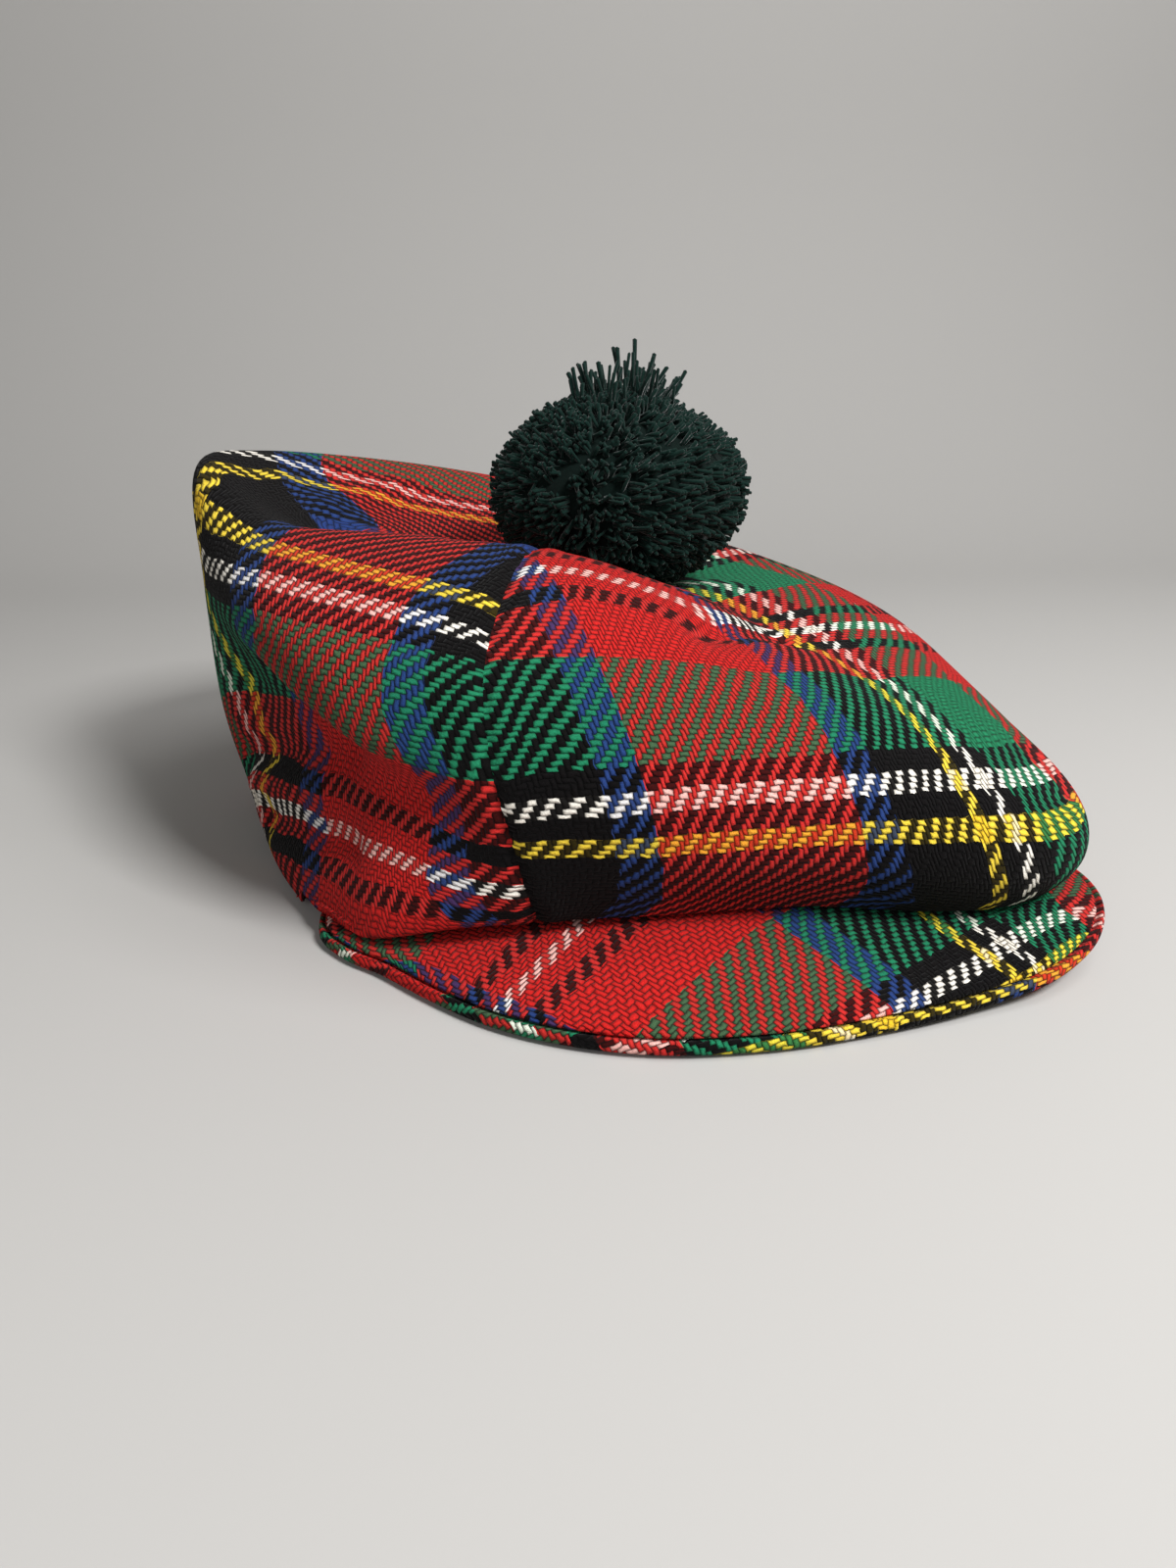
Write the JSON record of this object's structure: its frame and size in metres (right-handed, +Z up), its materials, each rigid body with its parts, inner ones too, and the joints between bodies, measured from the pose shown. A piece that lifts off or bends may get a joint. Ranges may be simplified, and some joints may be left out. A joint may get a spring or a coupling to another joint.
{
  "type": "tam o shanter cap",
  "caption": "Soft hollow cloth cap with a wide flopped crown, a head band, a short curved peak and a round yarn pompom on top, lying on a flat surface.",
  "frame": {"origin": "middle of the cap's footprint on the surface that it lies on", "axes": "+Z up through the crown, -Y towards the peak, +X towards the wearer's left"},
  "size_m": [0.2516, 0.2738, 0.1486],
  "materials": {
    "tartan_cloth": "matte woven wool in red, green, black, blue, yellow and white tartan",
    "peak_cloth": "matte woven wool tartan on the slant",
    "band_cloth": "matte woven wool",
    "green_yarn": "matte cut yarn"
  },
  "bodies": {
    "root": {"crown": "tartan_cloth", "head_band": "band_cloth", "peak_top": "peak_cloth", "peak_under": "peak_cloth", "pompom": "green_yarn"}
  },
  "joints": []
}
